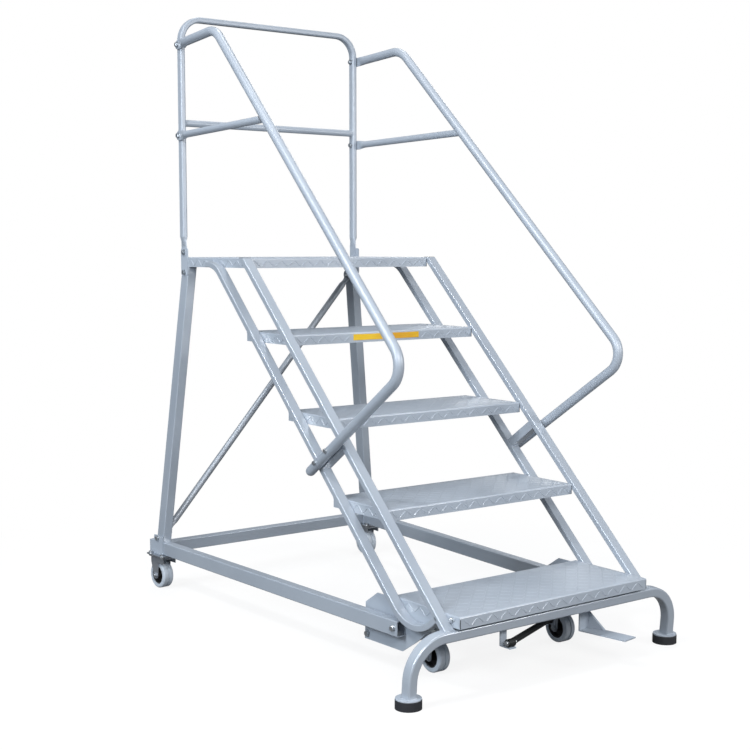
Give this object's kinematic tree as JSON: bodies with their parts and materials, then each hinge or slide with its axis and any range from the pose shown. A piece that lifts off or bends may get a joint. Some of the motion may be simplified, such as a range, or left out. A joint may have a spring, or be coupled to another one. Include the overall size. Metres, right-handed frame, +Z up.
{
  "type": "mobile access platform",
  "caption": "Rolling steel step ladder with folded checker-plate treads, a work deck with guard hoop and handrails, a wheeled base and a front bow on rubber feet.",
  "frame": {"origin": "middle of the bounding box, on the floor", "axes": "+Z up, +Y away from the climber towards the deck's rear, +X to the climber's right"},
  "size_m": [1.142, 1.8224, 2.122],
  "materials": {
    "paint": "satin powder coat",
    "checker": "satin painted checker plate",
    "zinc": "bright zinc plated",
    "tyre": "pale grey non-marking rubber",
    "hub": "black moulded",
    "pad": "black ribbed rubber",
    "black": "black painted",
    "label": "yellow film"
  },
  "bodies": {
    "frame": {"tread_1": "checker", "tread_2": "checker", "tread_3": "checker", "tread_4": "checker", "label_strip": "label", "platform_deck": "checker", "front_bow": "paint", "foot_discs": "paint", "foot_pads": "pad", "stringer_front_left": "paint", "stringer_front_right": "paint", "stringer_rear_left": "paint", "stringer_rear_right": "paint", "guard_hoop": "paint", "hoop_mid_rail": "paint", "post_brackets": "paint", "base_rail_left": "paint", "base_rail_right": "paint", "base_cross_rail": "paint", "rear_leg_left": "paint", "rear_leg_right": "paint", "corner_plates": "paint", "rear_diagonal": "zinc", "handrail_left": "paint", "handrail_right": "paint", "handrail_blocks": "paint", "side_braces": "paint", "side_plates": "paint", "castor_plates": "zinc", "front_axle_beam": "paint", "front_forks": "zinc", "foot_lever": "paint", "stay_hanger": "paint", "lever_stay": "black"},
    "swivel_left": {"castor_fork_left": "zinc"},
    "wheel_rear_left": {"tyre_rear_left": "tyre", "hub_rear_left": "hub"},
    "wheel_front_left": {"tyre_front_left": "tyre", "hub_front_left": "hub"},
    "swivel_right": {"castor_fork_right": "zinc"},
    "wheel_rear_right": {"tyre_rear_right": "tyre", "hub_rear_right": "hub"},
    "wheel_front_right": {"tyre_front_right": "tyre", "hub_front_right": "hub"}
  },
  "joints": [
    {"name": "castor_left_swivel", "type": "hinge", "parent": "frame", "child": "swivel_left", "pos_m": [-0.4481, 0.8397, 0.12], "axis": [0, 0, 1], "continuous": true},
    {"name": "wheel_rear_left_roll", "type": "hinge", "parent": "swivel_left", "child": "wheel_rear_left", "pos_m": [-0.44978, 0.86364, 0.05], "axis": [0.9976, 0.0698, 0], "continuous": true},
    {"name": "wheel_front_left_roll", "type": "hinge", "parent": "frame", "child": "wheel_front_left", "pos_m": [-0.264, -0.5533, 0.05], "axis": [1, 0, 0], "continuous": true},
    {"name": "castor_right_swivel", "type": "hinge", "parent": "frame", "child": "swivel_right", "pos_m": [0.51123, 0.8397, 0.12], "axis": [0, 0, 1], "continuous": true},
    {"name": "wheel_rear_right_roll", "type": "hinge", "parent": "swivel_right", "child": "wheel_rear_right", "pos_m": [0.5129, 0.86364, 0.05], "axis": [0.9976, -0.0698, 0], "continuous": true},
    {"name": "wheel_front_right_roll", "type": "hinge", "parent": "frame", "child": "wheel_front_right", "pos_m": [0.264, -0.5533, 0.05], "axis": [1, 0, 0], "continuous": true}
  ]
}
